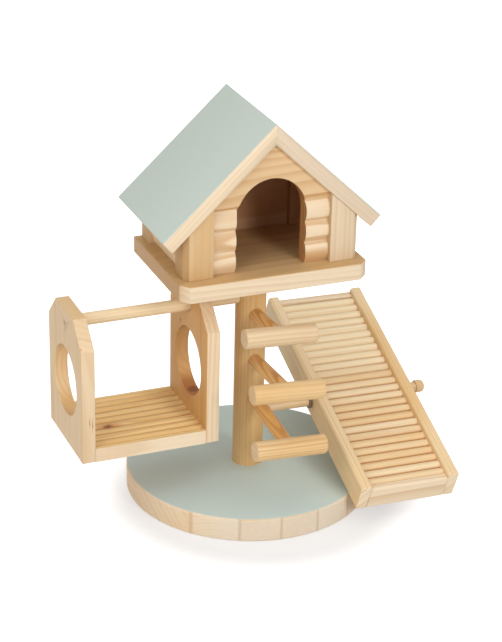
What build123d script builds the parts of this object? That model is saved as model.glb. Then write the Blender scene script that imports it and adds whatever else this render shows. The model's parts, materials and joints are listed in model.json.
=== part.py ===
from build123d import *
from math import acos, asin, atan2, cos, degrees, radians, sin, sqrt, tan
import os

# A wooden play stand for small pets: a house on a post, a swing, three perches and a seesaw.
# Sizes are in millimetres. The origin is the middle of the base's underside and +Z is up.
# The door and the perches face -Y, the swing hangs at -X and the seesaw turns at +X.

# Round base
base_diameter = 200
base_thickness = 20
base_edge_cut = 1.5
base_socket_depth = 8

# Round post, from the top of the base to the underside of the deck
post_diameter = 25
post_height = 175

# Deck that carries the house
deck_width = 156
deck_depth = 112
deck_thickness = 14
deck_corner_cut = 7
deck_socket_depth = 6

# House: how far its middle stands off the post's axis, its place on the deck, its corner posts
house_offset = -1.5
side_margin = 5.5
porch_depth = 11
corner_post_width = 24
corner_post_depth = 20
corner_post_cut = 4
eave_height = 35

# Log walls, set back from the faces of the corner posts
wall_thickness = 12.5
wall_setback = 3
log_pitch = 17.2
log_bulge = 3
log_courses = 3

# Arched door
door_width = 58
door_side_height = 44
door_arch_rise = 30.5

# Saddle roof of two boards that meet in a mitre
roof_pitch = 43
roof_thickness = 12
roof_board_length = 124
roof_overhang = 1.5

# Perches: a bar across the end of a stem. A stem's height is taken at the post's axis, above
# the base, and its reach goes to the bar's axis. Slopes and the bars' turn are in degrees.
perch_bar_diameter = 15.8
perch_bar_length = 60
perch_bar_turn = 3.3
perch_stem_diameter = 11
perch_post_socket = 9
perch_bar_socket = 8
upper_stem_height = 136
upper_stem_reach = 60.3
upper_stem_slope = 3.2
middle_stem_height = 95.9
middle_stem_reach = 78.9
middle_stem_slope = 2.6
lower_stem_height = 63.9
lower_stem_reach = 86.6
lower_stem_slope = -6.3

# Swing
swing_axis_height = 149
swing_post_gap = 29.8
swing_dowel_diameter = 10
swing_dowel_socket = 9
swing_dowel_seat = 8
swing_board_thickness = 11
swing_board_height = 115.2
swing_board_depth = 84
swing_corner_cut = 20
swing_bore_below_top = 11.5
swing_hole_diameter = 57
swing_hole_height = 54
swing_bay_width = 91.5
swing_floor_thickness = 11.5
swing_groove_count = 9
swing_groove_pitch = 9
swing_groove_depth = 2.2

# Seesaw, on an axle that leans down from the post by a few degrees
axle_height = 45.6
axle_lean = 1.5
axle_diameter = 8
axle_socket = 9
axle_overhang = 13.5
rail_post_gap = 43
rail_thickness = 9.5
rail_depth = 25.4
rail_length = 219
rail_edge_round = 2.2
axle_below_rail_top = 14.5
track_width = 68
track_recess = 4.5
track_thickness = 5.4
track_ridge_pitch = 7.95
track_ridge_depth = 3
end_board_thickness = 6

# Knob on the axle's end and rubber rings beside the rails
knob_diameter = 10.6
knob_length = 8
knob_edge_cut = 2
knob_socket = 4
ring_diameter = 11.4
ring_width = 2.3

# Clearances
glue_gap = 0.05
turning_gap = 0.5
seat_gap = 0.3

# Softened edges
edge_break = 0.6

os.makedirs("parts", exist_ok=True)

post_radius = post_diameter / 2
deck_underside = base_thickness + post_height
deck_top = deck_underside + deck_thickness
swing_axis = base_thickness + swing_axis_height
axle_axis = base_thickness + axle_height

house_half_width = deck_width / 2 - side_margin
house_front = -deck_depth / 2 + porch_depth
house_back = deck_depth / 2
roof_slope = tan(radians(roof_pitch))
ridge_underside = deck_top + eave_height + house_half_width * roof_slope
ridge_top = ridge_underside + roof_thickness / cos(radians(roof_pitch))
roof_run = roof_board_length * cos(radians(roof_pitch))
roof_drop = roof_board_length * sin(radians(roof_pitch))

swing_right_face = -post_radius - swing_post_gap
swing_inner_right = swing_right_face - swing_board_thickness
swing_inner_left = swing_inner_right - swing_bay_width
swing_left_face = swing_inner_left - swing_board_thickness
swing_top = swing_axis + swing_bore_below_top
swing_bottom = swing_top - swing_board_height
swing_half_depth = swing_board_depth / 2

rail_left_outer = post_radius + rail_post_gap
rail_left_inner = rail_left_outer + rail_thickness
rail_right_inner = rail_left_inner + track_width
rail_right_outer = rail_right_inner + rail_thickness
rail_half_length = rail_length / 2
axle_above_underside = rail_depth - axle_below_rail_top

# The seesaw rests with its left rail on the rim of the base's top, front end down. The rim's
# point under the rail lies this far across, this far to the front and this far below the axle.
lean = radians(axle_lean)
rim_across = (rail_left_outer - axle_height * sin(lean)) / cos(lean)
rim_reach = sqrt((base_diameter / 2 - base_edge_cut) ** 2 - rim_across**2)
rim_drop = axle_height * cos(lean) - rim_across * sin(lean)
rim_distance = sqrt(rim_drop**2 + rim_reach**2)
rest_offset = axle_above_underside + seat_gap
rest_tilt = degrees(acos(rest_offset / rim_distance) - atan2(rim_reach, rim_drop))

# Plane across the axle, on the post's axis and facing out along the axle
axle_plane = Plane(origin=(0, 0, axle_axis), x_dir=(0, 1, 0), z_dir=(cos(lean), 0, -sin(lean)))

# Upright plane across the house, through its middle and facing the door's side
house_plane = Plane(origin=(house_offset, 0, 0), x_dir=(1, 0, 0), z_dir=(0, -1, 0))

perches = [
    ("upper", upper_stem_height, upper_stem_reach, upper_stem_slope),
    ("middle", middle_stem_height, middle_stem_reach, middle_stem_slope),
    ("lower", lower_stem_height, lower_stem_reach, lower_stem_slope),
]
print("seesaw rest tilt", round(rest_tilt, 3), "degrees")
print("ridge height", round(ridge_top, 3))


# Round base with a blind socket for the post
with BuildPart() as base:
    with BuildSketch():
        Circle(base_diameter / 2)
    extrude(amount=base_thickness)
    chamfer(base.edges(), length=base_edge_cut)
    with BuildSketch(Plane.XY.offset(base_thickness)):
        Circle(post_radius + glue_gap)
    extrude(amount=-base_socket_depth, mode=Mode.SUBTRACT)
base.part.label = "base"
export_step(base.part, "parts/base.step")


# Post with sockets for the perches, the swing's dowel and the seesaw's axle
def perch_plane(height, slope):
    """Plane across a perch's stem, on the post's axis and facing out along the stem."""
    out = (0, -cos(radians(slope)), sin(radians(slope)))
    return Plane(origin=(0, 0, base_thickness + height), x_dir=(1, 0, 0), z_dir=out)


stem_radius = perch_stem_diameter / 2
stem_start = post_radius - perch_post_socket

with BuildPart() as post:
    with BuildSketch(Plane.XY.offset(base_thickness - base_socket_depth)):
        Circle(post_radius)
    extrude(amount=base_socket_depth + post_height + deck_socket_depth)
    for name, height, reach, slope in perches:
        with BuildSketch(perch_plane(height, slope).offset(stem_start)):
            Circle(stem_radius + glue_gap)
        extrude(amount=post_diameter, mode=Mode.SUBTRACT)
    with BuildSketch(Plane.YZ.offset(-post_radius + swing_dowel_socket)):
        with Locations((0, swing_axis)):
            Circle(swing_dowel_diameter / 2 + glue_gap)
    extrude(amount=-post_diameter, mode=Mode.SUBTRACT)
    with BuildSketch(axle_plane.offset(post_radius - axle_socket)):
        Circle(axle_diameter / 2 + glue_gap)
    extrude(amount=post_diameter, mode=Mode.SUBTRACT)
post.part.label = "post"
export_step(post.part, "parts/post.step")


# Deck with its two front corners cut off and a socket for the post
with BuildPart() as deck:
    with BuildSketch(Plane.XY.offset(deck_underside)) as deck_outline:
        with Locations((house_offset, 0)):
            Rectangle(deck_width, deck_depth)
        chamfer(deck_outline.vertices().group_by(Axis.Y)[0], length=deck_corner_cut)
    extrude(amount=deck_thickness)
    outer_edges = deck.faces().sort_by(Axis.Z)[-1].edges() + deck.faces().sort_by(Axis.Z)[0].edges()
    chamfer(outer_edges, length=edge_break)
    with BuildSketch(Plane.XY.offset(deck_underside)):
        Circle(post_radius + glue_gap)
    extrude(amount=deck_socket_depth, mode=Mode.SUBTRACT)
deck.part.label = "deck"
export_step(deck.part, "parts/deck.step")


# Space under the roof boards, which trims the posts and walls of the house
eave_underside = ridge_underside - roof_run * roof_slope
with BuildSketch(house_plane) as under_roof:
    with BuildLine():
        Polyline(
            (-roof_run, deck_top),
            (roof_run, deck_top),
            (roof_run, eave_underside),
            (0, ridge_underside),
            (-roof_run, eave_underside),
            close=True,
        )
    make_face()


# Four corner posts, each with its outer corner cut off and its top sloped to the roof
corners = [
    ("front_left", -1, -1),
    ("front_right", 1, -1),
    ("back_left", -1, 1),
    ("back_right", 1, 1),
]
for corner, side, end in corners:
    outer_x = house_offset + side * house_half_width
    inner_x = outer_x - side * corner_post_width
    outer_y = house_front if end < 0 else house_back
    inner_y = outer_y - end * corner_post_depth
    with BuildPart() as corner_post:
        with BuildSketch(Plane.XY.offset(deck_top)):
            with BuildLine():
                Polyline(
                    (inner_x, inner_y),
                    (inner_x, outer_y),
                    (outer_x - side * corner_post_cut, outer_y),
                    (outer_x, outer_y - end * corner_post_cut),
                    (outer_x, inner_y),
                    close=True,
                )
            make_face()
        extrude(amount=ridge_underside - deck_top)
        extrude(under_roof.sketch, amount=deck_depth, both=True, mode=Mode.INTERSECT)
    corner_post.part.label = f"house_post_{corner}"
    export_step(corner_post.part, f"parts/house_post_{corner}.step")


# Log walls
log_radius = (log_pitch**2 / 4 + log_bulge**2) / (2 * log_bulge)
log_half_angle = asin(log_pitch / 2 / log_radius)


def log_section(plane, outside, inward):
    """Section of a log wall: round courses below, a plain board above, flat inside."""
    groove = outside + inward * log_bulge
    inside = outside + inward * wall_thickness
    board_start = deck_top + log_courses * log_pitch
    board_face = board_start + log_pitch / 2
    with BuildSketch(plane) as section:
        with BuildLine():
            for course in range(log_courses):
                low = deck_top + course * log_pitch
                ThreePointArc((groove, low), (outside, low + log_pitch / 2), (groove, low + log_pitch))
            ThreePointArc(
                (groove, board_start),
                (
                    outside + inward * log_radius * (1 - cos(log_half_angle / 2)),
                    board_face - log_radius * sin(log_half_angle / 2),
                ),
                (outside, board_face),
            )
            Polyline(
                (outside, board_face),
                (outside, ridge_top),
                (inside, ridge_top),
                (inside, deck_top),
                (groove, deck_top),
            )
        make_face()
    return section.sketch


gable_half_width = house_half_width - corner_post_width
gable_plane = Plane.YZ.offset(house_offset - gable_half_width)
front_crest = house_front + wall_setback
back_crest = house_back - wall_setback
side_crest = house_half_width - wall_setback
side_wall_start = house_front + corner_post_depth
side_wall_length = house_back - house_front - 2 * corner_post_depth

with BuildPart() as front_wall:
    extrude(log_section(gable_plane, front_crest, 1), amount=2 * gable_half_width)
    extrude(under_roof.sketch, amount=deck_depth, both=True, mode=Mode.INTERSECT)
    with BuildSketch(house_plane):
        with Locations((0, deck_top)):
            Rectangle(door_width, door_side_height, align=(Align.CENTER, Align.MIN))
        with Locations((0, deck_top + door_side_height)):
            Ellipse(door_width / 2, door_arch_rise)
    extrude(amount=deck_depth, both=True, mode=Mode.SUBTRACT)
front_wall.part.label = "front_wall"
export_step(front_wall.part, "parts/front_wall.step")

with BuildPart() as back_wall:
    extrude(log_section(gable_plane, back_crest, -1), amount=2 * gable_half_width)
    extrude(under_roof.sketch, amount=deck_depth, both=True, mode=Mode.INTERSECT)
back_wall.part.label = "back_wall"
export_step(back_wall.part, "parts/back_wall.step")

for wall, side in (("left_wall", -1), ("right_wall", 1)):
    with BuildPart() as side_wall:
        section = log_section(house_plane.offset(-side_wall_start), side * side_crest, -side)
        extrude(section, amount=-side_wall_length)
        extrude(under_roof.sketch, amount=deck_depth, both=True, mode=Mode.INTERSECT)
    side_wall.part.label = wall
    export_step(side_wall.part, f"parts/{wall}.step")


# Roof boards, square at the eaves and mitred at the ridge
roof_depth = house_back - house_front + 2 * roof_overhang
for roof, side in (("roof_left", -1), ("roof_right", 1)):
    with BuildPart() as roof_board:
        with BuildSketch(house_plane.offset(-(house_front - roof_overhang))):
            with BuildLine():
                Polyline(
                    (0, ridge_underside),
                    (0, ridge_top),
                    (side * roof_run, ridge_top - roof_drop),
                    (
                        side * (roof_run - roof_thickness * sin(radians(roof_pitch))),
                        ridge_top - roof_drop - roof_thickness * cos(radians(roof_pitch)),
                    ),
                    close=True,
                )
            make_face()
        extrude(amount=-roof_depth)
        eave = roof_board.faces().sort_by(Axis.X)[0 if side < 0 else -1]
        chamfer(eave.edges(), length=edge_break)
    roof_board.part.label = roof
    export_step(roof_board.part, f"parts/{roof}.step")


# Perches
bar_radius = perch_bar_diameter / 2
bar_turn = radians(perch_bar_turn)
for name, height, reach, slope in perches:
    stem_length = reach / cos(radians(slope)) - bar_radius + perch_bar_socket - stem_start
    with BuildPart() as perch_stem:
        with BuildSketch(perch_plane(height, slope).offset(stem_start)):
            Circle(stem_radius)
        extrude(amount=stem_length)
    perch_stem.part.label = f"perch_stem_{name}"
    export_step(perch_stem.part, f"parts/perch_stem_{name}.step")

    rise = radians(slope)
    bar_way = (cos(bar_turn), -sin(bar_turn) * sin(rise), -sin(bar_turn) * cos(rise))
    seat = perch_plane(height, slope).offset(reach / cos(rise))
    with BuildPart() as perch_bar:
        with BuildSketch(Plane(origin=seat.origin, z_dir=bar_way)):
            Circle(bar_radius)
        extrude(amount=perch_bar_length / 2, both=True)
        with BuildSketch(perch_plane(height, slope)):
            Circle(stem_radius + glue_gap)
        extrude(amount=stem_start + stem_length, mode=Mode.SUBTRACT)
    perch_bar.part.label = f"perch_bar_{name}"
    export_step(perch_bar.part, f"parts/perch_bar_{name}.step")


# Dowel from the post through the near board of the swing into the far one
with BuildPart() as swing_dowel:
    dowel_end = swing_inner_left - swing_dowel_seat
    with BuildSketch(Plane.YZ.offset(dowel_end)):
        with Locations((0, swing_axis)):
            Circle(swing_dowel_diameter / 2)
    extrude(amount=-post_radius + swing_dowel_socket - dowel_end)
swing_dowel.part.label = "swing_dowel"
export_step(swing_dowel.part, "parts/swing_dowel.step")


# Side boards of the swing, with cut top corners, a round window and a bore for the dowel
def swing_board_outline(plane):
    """Outline of a side board of the swing, with its window."""
    shoulder = swing_half_depth - swing_corner_cut
    with BuildSketch(plane) as outline:
        with BuildLine():
            Polyline(
                (-swing_half_depth, swing_bottom),
                (swing_half_depth, swing_bottom),
                (swing_half_depth, swing_top - swing_corner_cut),
                (shoulder, swing_top),
                (-shoulder, swing_top),
                (-swing_half_depth, swing_top - swing_corner_cut),
                close=True,
            )
        make_face()
        with Locations((0, swing_bottom + swing_hole_height)):
            Circle(swing_hole_diameter / 2, mode=Mode.SUBTRACT)
    return outline.sketch


swing_bore_radius = swing_dowel_diameter / 2 + turning_gap

with BuildPart() as swing_board_right:
    extrude(swing_board_outline(Plane.YZ.offset(swing_inner_right)), amount=swing_board_thickness)
    with BuildSketch(Plane.YZ.offset(swing_inner_right)):
        with Locations((0, swing_axis)):
            Circle(swing_bore_radius)
    extrude(amount=swing_board_thickness, mode=Mode.SUBTRACT)
swing_board_right.part.label = "swing_board_right"
export_step(swing_board_right.part, "parts/swing_board_right.step")

with BuildPart() as swing_board_left:
    extrude(swing_board_outline(Plane.YZ.offset(swing_left_face)), amount=swing_board_thickness)
    with BuildSketch(Plane.YZ.offset(swing_inner_left)):
        with Locations((0, swing_axis)):
            Circle(swing_bore_radius)
    extrude(amount=-swing_dowel_seat - turning_gap, mode=Mode.SUBTRACT)
swing_board_left.part.label = "swing_board_left"
export_step(swing_board_left.part, "parts/swing_board_left.step")


# Grooved floor of the swing, flush with the boards at the bottom, front and back
with BuildPart() as swing_floor:
    floor_top = swing_bottom + swing_floor_thickness
    ridge_count = swing_groove_count - 1
    ridges_start = -ridge_count * swing_groove_pitch / 2
    with BuildSketch(Plane.YZ.offset(swing_inner_left)):
        with BuildLine():
            for ridge in range(ridge_count):
                low = ridges_start + ridge * swing_groove_pitch
                ThreePointArc(
                    (low, floor_top - swing_groove_depth),
                    (low + swing_groove_pitch / 2, floor_top),
                    (low + swing_groove_pitch, floor_top - swing_groove_depth),
                )
            Polyline(
                (-ridges_start, floor_top - swing_groove_depth),
                (-ridges_start + swing_groove_depth, floor_top),
                (swing_half_depth, floor_top),
                (swing_half_depth, swing_bottom),
                (-swing_half_depth, swing_bottom),
                (-swing_half_depth, floor_top),
                (ridges_start - swing_groove_depth, floor_top),
                (ridges_start, floor_top - swing_groove_depth),
            )
        make_face()
    extrude(amount=swing_bay_width)
swing_floor.part.label = "swing_floor"
export_step(swing_floor.part, "parts/swing_floor.step")


# Axle of the seesaw, from the post to the knob
knob_start = rail_right_outer + axle_overhang - knob_socket
with BuildPart() as seesaw_axle:
    with BuildSketch(axle_plane.offset(post_radius - axle_socket)):
        Circle(axle_diameter / 2)
    extrude(amount=rail_right_outer + axle_overhang - post_radius + axle_socket)
seesaw_axle.part.label = "seesaw_axle"
export_step(seesaw_axle.part, "parts/seesaw_axle.step")

with BuildPart() as axle_knob:
    with BuildSketch(axle_plane.offset(knob_start)):
        Circle(knob_diameter / 2)
    extrude(amount=knob_length)
    chamfer(axle_knob.faces().sort_by(Axis.X)[-1].edges(), length=knob_edge_cut)
    with BuildSketch(axle_plane.offset(knob_start)):
        Circle(axle_diameter / 2 + glue_gap)
    extrude(amount=knob_socket + glue_gap, mode=Mode.SUBTRACT)
axle_knob.part.label = "axle_knob"
export_step(axle_knob.part, "parts/axle_knob.step")


# Rubber rings that keep the seesaw in place on its axle
rings = [
    ("stop_ring_inner", rail_left_outer - seat_gap - ring_width),
    ("stop_ring_outer", rail_right_outer + seat_gap),
]
for ring, start in rings:
    with BuildPart() as stop_ring:
        with BuildSketch(axle_plane.offset(start)):
            Circle(ring_diameter / 2)
            Circle(axle_diameter / 2 + glue_gap, mode=Mode.SUBTRACT)
        extrude(amount=ring_width)
    stop_ring.part.label = ring
    export_step(stop_ring.part, f"parts/{ring}.step")


# Seesaw. Its side plane runs along the rails and up from the axle, turned to the rest tilt.
tilt = radians(rest_tilt)
along = (sin(tilt) * sin(lean), cos(tilt), sin(tilt) * cos(lean))
seesaw_side = Plane(origin=axle_plane.origin, x_dir=along, z_dir=axle_plane.z_dir)
along_rails = Axis(seesaw_side.origin, seesaw_side.x_dir)
across_rails = Axis(seesaw_side.origin, seesaw_side.z_dir)
rail_mid = axle_below_rail_top - rail_depth / 2

for rail, start in (("left", rail_left_outer), ("right", rail_right_inner)):
    with BuildPart() as seesaw_rail:
        with BuildSketch(seesaw_side.offset(start)):
            with Locations((0, rail_mid)):
                Rectangle(rail_length, rail_depth)
        extrude(amount=rail_thickness)
        fillet(seesaw_rail.edges().filter_by(along_rails), radius=rail_edge_round)
        chamfer(seesaw_rail.faces().sort_by(along_rails)[0].edges(), length=edge_break)
        chamfer(seesaw_rail.faces().sort_by(along_rails)[-1].edges(), length=edge_break)
        with BuildSketch(seesaw_side.offset(start)):
            Circle(axle_diameter / 2 + turning_gap)
        extrude(amount=rail_thickness, mode=Mode.SUBTRACT)
    seesaw_rail.part.label = f"seesaw_rail_{rail}"
    export_step(seesaw_rail.part, f"parts/seesaw_rail_{rail}.step")

track_top = axle_below_rail_top - track_recess
track_bottom = track_top - track_thickness
track_half_length = rail_half_length - end_board_thickness
track_ridges = int(2 * track_half_length // track_ridge_pitch)
with BuildPart() as seesaw_floor:
    ridges_start = -track_ridges * track_ridge_pitch / 2
    valley = track_top - track_ridge_depth
    with BuildSketch(seesaw_side.offset(rail_left_inner)):
        with BuildLine():
            for ridge in range(track_ridges):
                low = ridges_start + ridge * track_ridge_pitch
                ThreePointArc(
                    (low, valley),
                    (low + track_ridge_pitch / 2, track_top),
                    (low + track_ridge_pitch, valley),
                )
            Polyline(
                (-ridges_start, valley),
                (-ridges_start, track_bottom),
                (ridges_start, track_bottom),
                (ridges_start, valley),
            )
        make_face()
    extrude(amount=track_width)
seesaw_floor.part.label = "seesaw_floor"
export_step(seesaw_floor.part, "parts/seesaw_floor.step")

end_board_depth = rail_depth - track_recess
end_board_mid = track_top - end_board_depth / 2
for end, side in (("front", -1), ("back", 1)):
    with BuildPart() as end_board:
        with BuildSketch(seesaw_side.offset(rail_left_inner)):
            with Locations((side * (rail_half_length - end_board_thickness / 2), end_board_mid)):
                Rectangle(end_board_thickness, end_board_depth)
        extrude(amount=track_width)
        chamfer(end_board.edges().filter_by(across_rails), length=edge_break)
    end_board.part.label = f"seesaw_end_{end}"
    export_step(end_board.part, f"parts/seesaw_end_{end}.step")
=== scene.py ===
import json
import math
from functools import partial

import bmesh
import bpy
from mathutils import Matrix, Vector


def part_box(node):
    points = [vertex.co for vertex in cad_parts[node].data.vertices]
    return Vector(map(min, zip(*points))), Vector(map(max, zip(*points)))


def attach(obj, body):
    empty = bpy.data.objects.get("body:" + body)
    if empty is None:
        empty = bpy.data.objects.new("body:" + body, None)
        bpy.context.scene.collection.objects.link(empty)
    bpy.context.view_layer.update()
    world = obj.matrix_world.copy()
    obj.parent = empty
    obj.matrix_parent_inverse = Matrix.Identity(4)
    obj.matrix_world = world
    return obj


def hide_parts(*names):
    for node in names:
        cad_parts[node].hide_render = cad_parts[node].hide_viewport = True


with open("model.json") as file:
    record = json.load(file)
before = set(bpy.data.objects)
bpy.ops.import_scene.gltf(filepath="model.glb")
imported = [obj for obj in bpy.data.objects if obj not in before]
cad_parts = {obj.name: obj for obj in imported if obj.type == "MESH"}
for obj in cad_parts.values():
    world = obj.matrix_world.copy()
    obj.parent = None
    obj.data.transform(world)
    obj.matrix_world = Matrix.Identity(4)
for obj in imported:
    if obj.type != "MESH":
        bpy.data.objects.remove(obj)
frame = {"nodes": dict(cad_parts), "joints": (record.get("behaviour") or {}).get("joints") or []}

bl_info = {
    "name": "Small animal play house",
    "version": (1, 0, 0),
    "blender": (4, 5, 0),
    "location": "3D View > Sidebar > Play house",
    "description": "Dresses a wooden play house with its swing and seesaw, and sets it on a plain stage",
    "category": "Object",
}

MM = 0.001
NODES = frame["nodes"]
SEESAW_JOINT = next(j for j in frame["joints"] if j["child"] == "seesaw")
AXLE = Vector(SEESAW_JOINT["pos_m"])
AXLE_WAY = -Vector(SEESAW_JOINT["axis"]).normalized()
REST_TILT = math.radians(SEESAW_JOINT["range_deg"][1]) / 2
WELD = 0.002 * MM
FLAT_ANGLE = math.radians(0.6)
SHARP_ANGLE = math.radians(28)
SMALL_FACE = 60 * MM * MM
GRAIN_DEPTH = 0.10 * MM
ROLLER_DEPTH = 0.06 * MM
PAINT_FADE = 0.12 * MM
PAINT_WOBBLE = 0.3 * MM
GLUE = (0.50, 0.30, 0.17)
MITRE = 0.4 * MM
KNOB_EDGE = 0.4 * MM
BORE_REACH = 29.3 * MM
BORE_HEIGHT = 54 * MM
SCREW_GAP = 0.2 * MM
SCREW_HOLE = 0.9 * MM
SCREW_SEAT = 0.85 * MM
LAMP_AIM = Vector((0, 0, 0.12))
FLOOR_HALF = 6.0

# Shares of the sanded edge at the house and at the seesaw
HOUSE_EDGE = 0.6
SEESAW_EDGE = 0.35

# Radii of the floor's soft shadow, how white the floor is in it, and how much whiter beyond it
CONTACT = (0.1, 0.152)
CONTACT_WHITE = 0.54
OPEN_WHITE = 0.51


def number(name, about, default, **more):
    """A plain number."""
    return bpy.props.FloatProperty(name=name, description=about, default=default, **more)


def length(name, about, default):
    """A size in metres, given in millimetres."""
    return number(name, about, default * MM, min=0, precision=5, unit="LENGTH", subtype="DISTANCE")


def share(name, about, default):
    """A number from 0 to 1."""
    return number(name, about, default, min=0, max=1, subtype="FACTOR")


def angle(name, about, default):
    """An angle, given in degrees."""
    return number(name, about, math.radians(default), subtype="ANGLE")


def whole(name, about, default):
    """A whole number."""
    return bpy.props.IntProperty(name=name, description=about, default=default, min=1)


def point(name, about, default, **more):
    """A place in metres."""
    return bpy.props.FloatVectorProperty(name=name, description=about, default=default, **more)


def colour(red, green, blue):
    """Linear colour from the 0 to 255 values of a paint or wood sample."""
    steps = []
    for value in (red, green, blue):
        value = value / 255
        steps.append(value / 12.92 if value <= 0.04045 else ((value + 0.055) / 1.055) ** 2.4)
    return tuple(steps)


def shade(name, about, *rgb):
    """A colour of the object."""
    return point(name, about, colour(*rgb), size=3, min=0, max=1, subtype="COLOR")


class PineFinish(bpy.types.PropertyGroup):
    early: shade("Early wood", "Wood between the year rings", 241, 222, 193)
    late: shade("Late wood", "Line of each year ring", 206, 160, 104)
    end: shade("End grain", "Wood cut across its fibres", 224, 204, 176)
    warm: shade("Warm wood", "Tone of heart wood", 228, 189, 132)
    contrast: share("Ring contrast", "How clearly the year rings show", 0.42)
    roughness: share("Roughness", "Roughness of the sanded wood", 0.62)
    knot: shade("Knot", "Colour of a knot's heart", 122, 70, 36)
    knot_rim: shade("Knot rim", "Reddish wood round a knot", 186, 116, 70)
    # The house inside tone is painted shade: it darkens the wood inside the house
    inside: shade("Painted shade inside", "Tone of the wood inside the house", 197, 150, 114)


class PaintFinish(bpy.types.PropertyGroup):
    roof: shade("Roof paint", "Matt paint on the roof boards", 192, 202, 193)
    base: shade("Base paint", "Matt paint on the base", 198, 213, 208)
    film: length("Painted edge", "Reach of the paint over an edge", 0.2)


class BoardSizes(bpy.types.PropertyGroup):
    edge: length("Sanded edge", "Rounding of the swing boards' edges", 0.7)
    roof_edge: length("Roof edge", "Rounding of the roof boards' edges", 0.45)
    rim: length("Base rim", "Rounding of the base's rim", 1.8)
    strip: length("Base strip", "Width of the base's glued strips", 32)
    strip_start: length("First glue seam", "Place of a seam from the middle", 10.6)
    log_courses: length("Log courses", "Height of the logs under the gable", 51.6)
    bar_length: length("Bar length", "Length of a perch bar", 60)
    bar_thickness: length("Bar thickness", "Diameter of a perch bar", 15.8)
    bar_end: length("Bar end", "Rounding of the bars' ends", 1.3)


class RidgeSizes(bpy.types.PropertyGroup):
    seesaw_pitch: length("Seesaw ridge pitch", "Width of a ridge", 7.95)
    seesaw_rise: length("Seesaw ridge rise", "Height over the valleys", 3)
    seesaw_top: length("Seesaw ridge top", "Height over the axle", 10)
    seesaw_width: length("Seesaw width", "Width between the rails", 68)
    seesaw_thickness: length("Seesaw floor", "Thickness of the floor", 5.4)
    seesaw_ridges: whole("Seesaw ridges", "Ridges on the seesaw", 26)
    seesaw_spread: share("Seesaw tone spread", "Difference between ridges", 0.72)
    swing_pitch: length("Swing ridge pitch", "Width of a ridge", 9)
    swing_rise: length("Swing ridge rise", "Height over the valleys", 2.2)
    swing_ridges: whole("Swing ridges", "Ridges on the swing", 8)
    swing_spread: share("Swing tone spread", "Difference between ridges", 0.2)
    # The groove tone is painted shade: it darkens the wood towards the bottom of each valley
    groove: shade("Valley shade", "Tone of the wood in the valleys", 212, 172, 124)
    seed: whole("Seed", "Seed of these differences", 7)


class FittingSizes(bpy.types.PropertyGroup):
    screw: length("Screw head", "Diameter of the swing's screw head", 4.2)
    screw_metal: shade("Screw metal", "Colour of the screw head", 150, 140, 125)
    rubber: shade("Rubber", "Colour of the stop rings", 142, 122, 98)
    knob_round: length("Knob rounding", "Rounding of the axle's knob", 3)
    ring_round: length("Ring rounding", "Rounding of the stop rings", 0.9)


class StageSizes(bpy.types.PropertyGroup):
    azimuth: angle("Camera turn", "Turn round the object", -22.67)
    elevation: angle("Camera height", "Angle over the floor", 24.672)
    roll: angle("Camera roll", "Turn round the view", 1.36)
    distance: length("Camera distance", "Distance to the aimed point", 1611.34)
    aim: point("Aim", "Point in the middle of the view", (-0.00006, -0.00162, 0.1467), subtype="XYZ")
    lens: number("Lens", "Focal length in millimetres", 112.418, unit="CAMERA")
    floor: shade("Floor", "Colour that lights the object", 232, 230, 226)
    floor_shadow: shade("Floor shadow", "Strength of its shadows", 165, 163, 161)
    contact: point("Contact shadow", "Middle of the soft shadow", (0.003, -0.022, 0), subtype="TRANSLATION")
    sky: number("Sky", "Strength of the even light", 0.34, min=0)
    key: number("Key lamp", "Power of the key lamp", 13.6, min=0)
    fill: number("Fill lamp", "Power of the fill lamp", 13.1, min=0)
    top: number("Top lamp", "Power of the top lamp", 17.2, min=0)


SETTINGS = {
    "playhouse_pine": PineFinish,
    "playhouse_paint": PaintFinish,
    "playhouse_boards": BoardSizes,
    "playhouse_ridges": RidgeSizes,
    "playhouse_fittings": FittingSizes,
    "playhouse_stage": StageSizes,
}

UP = Vector((0, 0, 1))
ALONG_X = Vector((1, 0, 0))
ALONG_Y = Vector((0, 1, 0))
TO_LEFT = -ALONG_X
GABLE_TONE = (240, 226, 205)
BORE_TONES = {"left": (248, 238, 220), "right": (232, 202, 158)}
ROOF_TINTS = {"left": (255, 255, 255), "right": (239, 239, 243)}
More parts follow.
